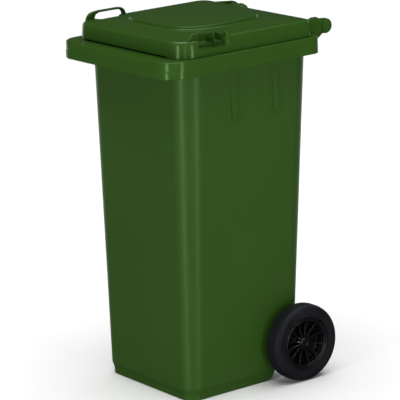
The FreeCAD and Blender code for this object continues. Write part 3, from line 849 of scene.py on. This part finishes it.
def plastic(name, dark, light, roughness, grain, bump, tint=(1, 1, 1), specular=0.5, polished=None):
    """Moulded plastic: slow colour drift, fine moulded grain, and roughness that varies over the surface.

    Above the height in polished, the mould was smoother and the roughness falls to the value given there."""
    material, nodes, links, shader = new_material(name)
    place = nodes.new("ShaderNodeTexCoord").outputs["Object"]
    drift = noise(nodes, links, place, 3.5, 3)
    colour = ramp(nodes, links, drift.outputs["Fac"], ((0.30, dark), (0.70, light)))
    links.new(colour.outputs["Color"], shader.inputs["Base Color"])
    fine = noise(nodes, links, place, grain, 3, 0.6)
    cloud = noise(nodes, links, place, 14, 4)
    rough = ramp(nodes, links, cloud.outputs["Fac"],
                 ((0.3, grey(roughness - 0.03)), (0.7, grey(roughness + 0.03))))
    if polished:
        height, value = polished
        parts = nodes.new("ShaderNodeSeparateXYZ")
        links.new(place, parts.inputs[0])
        smoother = nodes.new("ShaderNodeMapRange")
        smoother.interpolation_type = "SMOOTHSTEP"
        smoother.inputs["From Min"].default_value = height - 0.004
        smoother.inputs["From Max"].default_value = height
        smoother.inputs["To Min"].default_value = 1
        smoother.inputs["To Max"].default_value = value / roughness
        links.new(parts.outputs["Z"], smoother.inputs["Value"])
        product = nodes.new("ShaderNodeMath")
        product.operation = "MULTIPLY"
        links.new(rough.outputs["Color"], product.inputs[0])
        links.new(smoother.outputs["Result"], product.inputs[1])
        links.new(product.outputs[0], shader.inputs["Roughness"])
    else:
        links.new(rough.outputs["Color"], shader.inputs["Roughness"])
    add_bump(nodes, links, fine, shader, bump, 0.0002)
    shader.inputs["Specular IOR Level"].default_value = specular
    shader.inputs["Specular Tint"].default_value = (*tint, 1)
    return material


def rubber(name):
    """Tyre rubber: dull black, with a blotchy roughness and a coarser grain than the plastic."""
    material, nodes, links, shader = new_material(name)
    place = nodes.new("ShaderNodeTexCoord").outputs["Object"]
    drift = noise(nodes, links, place, 22, 5, 0.6)
    colour = ramp(nodes, links, drift.outputs["Fac"],
                  ((0.35, (0.005, 0.0053, 0.0075)), (0.7, (0.010, 0.0105, 0.0145))))
    links.new(colour.outputs["Color"], shader.inputs["Base Color"])
    rough = ramp(nodes, links, drift.outputs["Fac"], ((0.3, grey(0.46)), (0.7, grey(0.60))))
    links.new(rough.outputs["Color"], shader.inputs["Roughness"])
    fine = noise(nodes, links, place, 900, 2)
    add_bump(nodes, links, fine, shader, 0.35, 0.0003)
    shader.inputs["Specular IOR Level"].default_value = 0.2
    return material


def metal(name, colour, roughness, streak):
    """Plated steel: streaks along the bar and a spangled change of brightness."""
    material, nodes, links, shader = new_material(name)
    shader.inputs["Metallic"].default_value = 1
    place = nodes.new("ShaderNodeTexCoord").outputs["Object"]
    stretch = nodes.new("ShaderNodeMapping")
    stretch.inputs["Scale"].default_value = streak
    links.new(place, stretch.inputs["Vector"])
    lines = noise(nodes, links, stretch.outputs["Vector"], 60, 4)
    spangle = nodes.new("ShaderNodeTexVoronoi")
    spangle.inputs["Scale"].default_value = 140
    links.new(place, spangle.inputs["Vector"])
    darker = tuple(c * 0.8 for c in colour)
    shade = ramp(nodes, links, spangle.outputs["Distance"], ((0.0, darker), (0.7, colour)))
    links.new(shade.outputs["Color"], shader.inputs["Base Color"])
    rough = ramp(nodes, links, lines.outputs["Fac"],
                 ((0.3, grey(roughness - 0.08)), (0.7, grey(roughness + 0.10))))
    links.new(rough.outputs["Color"], shader.inputs["Roughness"])
    add_bump(nodes, links, lines, shader, 0.15, 0.0002)
    return material


def dress(piece, material):
    piece.data.materials.clear()
    piece.data.materials.append(material)


# ---------------------------------------------------------------- stage
def make_floor():
    """White studio floor, seen by the camera but not in reflections."""
    form = bmesh.new()
    bmesh.ops.create_grid(form, x_segments=4, y_segments=4, size=FLOOR_HALF)
    floor = finish_mesh(form, "floor")
    material, nodes, links, shader = new_material("floor_paper")
    place = nodes.new("ShaderNodeTexCoord").outputs["Object"]
    drift = noise(nodes, links, place, 1.2, 2)
    colour = ramp(nodes, links, drift.outputs["Fac"], ((0.3, grey(0.89)), (0.7, grey(0.91))))
    links.new(colour.outputs["Color"], shader.inputs["Base Color"])
    shader.inputs["Roughness"].default_value = 0.9
    shader.inputs["Specular IOR Level"].default_value = 0.1
    dress(floor, material)
    floor.visible_glossy = False
    floor.visible_shadow = False


def softbox(name, azimuth, low, high, distance, width, power):
    """Upright area light that faces the bin, between two heights; azimuth 0 is the front."""
    light = bpy.data.lights.new(name, "AREA")
    light.shape = "RECTANGLE"
    light.size = width
    light.size_y = high - low
    light.energy = power
    lamp = bpy.data.objects.new(name, light)
    bpy.context.scene.collection.objects.link(lamp)
    angle = math.radians(azimuth)
    back = Vector((math.sin(angle), -math.cos(angle), 0))
    lamp.location = back * distance + Vector((0, 0, (low + high) / 2))
    lamp.rotation_euler = back.to_track_quat("Z", "Y").to_euler()
    lamp.visible_camera = False


def make_light():
    """A broad light from above, a dim world, and upright soft boxes for the highlights."""
    world = bpy.data.worlds.new("studio")
    world.use_nodes = True
    background = world.node_tree.nodes["Background"]
    background.inputs["Color"].default_value = (1.0, 1.0, 1.0, 1)
    background.inputs["Strength"].default_value = WORLD_STRENGTH
    bpy.context.scene.world = world
    light = bpy.data.lights.new("ceiling", "SUN")
    light.energy = CEILING_STRENGTH
    light.angle = math.radians(CEILING_SPREAD)
    lamp = bpy.data.objects.new("ceiling", light)
    bpy.context.scene.collection.objects.link(lamp)
    lamp.location = (0, 0, 3)
    for box in SOFTBOXES:
        softbox(*box)
    bpy.context.scene.view_settings.view_transform = "Standard"


def make_camera():
    """Camera at the photograph's viewing angle, with its small roll."""
    azimuth = math.radians(CAMERA_AZIMUTH)
    elevation = math.radians(CAMERA_ELEVATION)
    roll = math.radians(CAMERA_ROLL)
    back = Vector((math.sin(azimuth) * math.cos(elevation), -math.cos(azimuth) * math.cos(elevation),
                   math.sin(elevation)))
    level = (-back).cross(Vector((0, 0, 1))).normalized()
    upright = level.cross(-back)
    right = level * math.cos(roll) + upright * math.sin(roll)
    up = upright * math.cos(roll) - level * math.sin(roll)
    data = bpy.data.cameras.new("camera")
    data.lens = CAMERA_LENS
    data.sensor_width = CAMERA_SENSOR
    data.shift_x, data.shift_y = CAMERA_SHIFT
    data.clip_end = 100
    camera = bpy.data.objects.new("camera", data)
    bpy.context.scene.collection.objects.link(camera)
    place = Vector(CAMERA_TARGET) + back * CAMERA_DISTANCE
    camera.matrix_world = Matrix.Translation(place) @ Matrix((right, up, back)).transposed().to_4x4()
    bpy.context.scene.camera = camera


# ---------------------------------------------------------------- assembly
GREEN = ((0.0270, 0.0735, 0.0090), (0.0290, 0.0800, 0.0102))
BLACK = ((0.0035, 0.0035, 0.0045), (0.006, 0.006, 0.0075))
GREEN_TINT = (0.6, 1.0, 0.5)
green = plastic("green_hdpe", *GREEN, roughness=0.40, grain=1400, bump=0.10, tint=GREEN_TINT, specular=0.35,
                polished=(rim_bottom + 0.001, 0.22))
lid_green = plastic("green_hdpe_polished", *GREEN, roughness=0.22, grain=1400, bump=0.08, tint=GREEN_TINT,
                    specular=0.35)
black = plastic("black_pp", *BLACK, roughness=0.26, grain=1100, bump=0.10)
tyre_rubber = rubber("tyre_rubber")
zinc = metal("zinc_plate", (0.60, 0.61, 0.62), roughness=0.34, streak=(1, 12, 12))
wire = metal("spring_wire", (0.52, 0.52, 0.53), roughness=0.28, streak=(6, 6, 6))

dress(make_tub(), green)
dress(make_lid(), lid_green)
for part, part_slot in make_wheels():
    dress(part, tyre_rubber if part_slot == "rubber" else black)

# The hidden and plain nodes keep their CAD meshes and only take a material.
node_materials = {
    "axle": zinc,
    "hinge_pin": lid_green,
    "wheel_latch": black,
    "latch_cap": black,
    "latch_spring": wire,
}
for node_name, node_object in frame["nodes"].items():
    for stem, finish in node_materials.items():
        if node_name.startswith(stem):
            for material_slot in node_object.material_slots:
                material_slot.material = finish
            node_object.data.shade_smooth()
            node_object.data.set_sharp_from_angle(angle=SMOOTH_ANGLE)

make_floor()
make_light()
make_camera()
